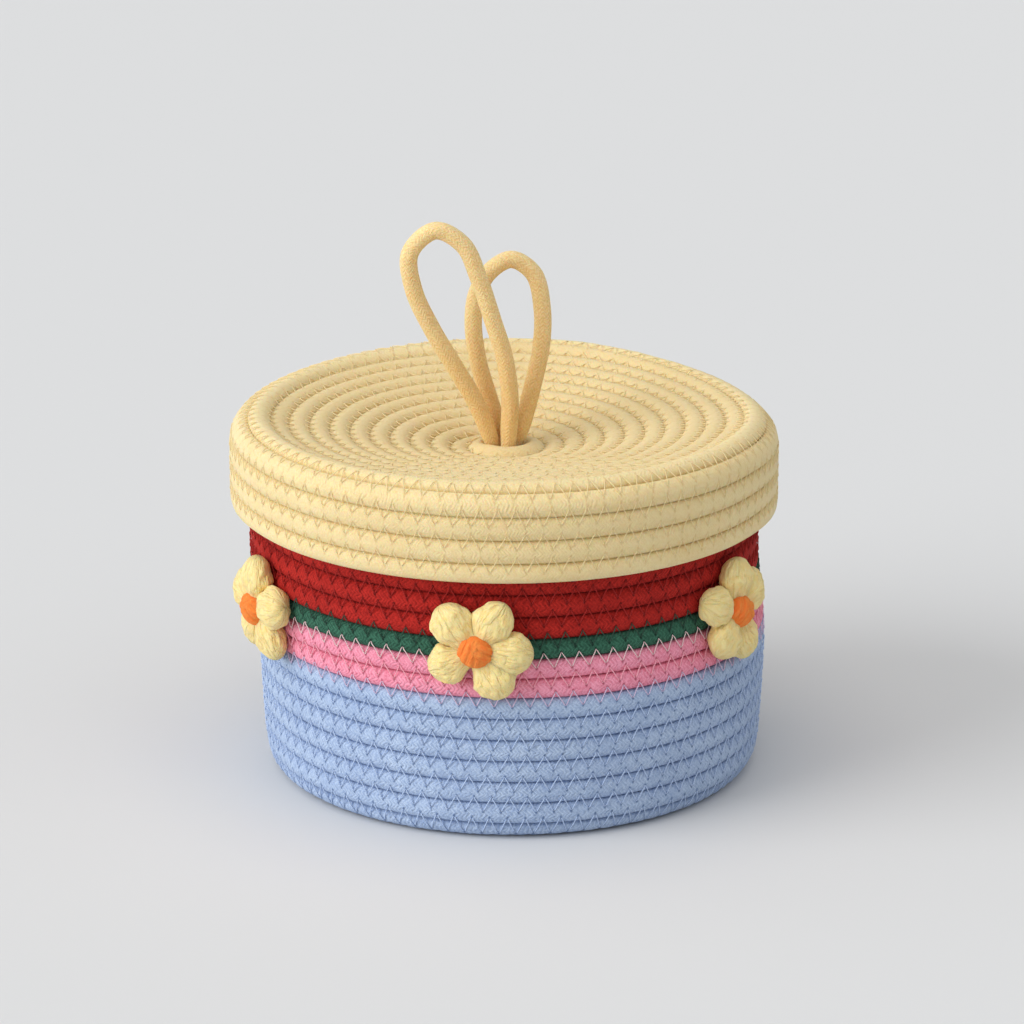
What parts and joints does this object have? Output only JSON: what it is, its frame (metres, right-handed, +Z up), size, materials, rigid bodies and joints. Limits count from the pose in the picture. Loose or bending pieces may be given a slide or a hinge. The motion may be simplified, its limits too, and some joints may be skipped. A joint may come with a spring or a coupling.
{
  "type": "lidded storage basket",
  "caption": "Round storage basket of coiled and sewn cotton rope, with yarn flowers and a lift-off dished lid that has standing rope loops as its handle.",
  "frame": {"origin": "on the floor under the middle of the basket", "axes": "+Z up, -Y towards the front flower"},
  "size_m": [0.1724, 0.1806, 0.1799],
  "materials": {
    "blue_cotton": "matt",
    "pink_cotton": "matt",
    "green_cotton": "matt",
    "red_cotton": "matt",
    "yellow_cotton": "matt",
    "cream_yarn": "matt",
    "orange_yarn": "matt"
  },
  "bodies": {
    "basket": {"blue_coil": "blue_cotton", "pink_coil": "pink_cotton", "green_coil": "green_cotton", "red_coil": "red_cotton", "flower_1_petals": "cream_yarn", "flower_2_petals": "cream_yarn", "flower_3_petals": "cream_yarn", "flower_4_petals": "cream_yarn", "flower_5_petals": "cream_yarn", "flower_6_petals": "cream_yarn", "flower_1_centre": "orange_yarn", "flower_2_centre": "orange_yarn", "flower_3_centre": "orange_yarn", "flower_4_centre": "orange_yarn", "flower_5_centre": "orange_yarn", "flower_6_centre": "orange_yarn"},
    "lid": {"lid_coil": "yellow_cotton", "front_loop": "yellow_cotton", "back_loop": "yellow_cotton", "handle_binding": "yellow_cotton"}
  },
  "joints": [
    {"name": "lid_lift", "type": "slide", "parent": "basket", "child": "lid", "axis": [0, 0, 1], "range_m": [0, 0.15]}
  ]
}
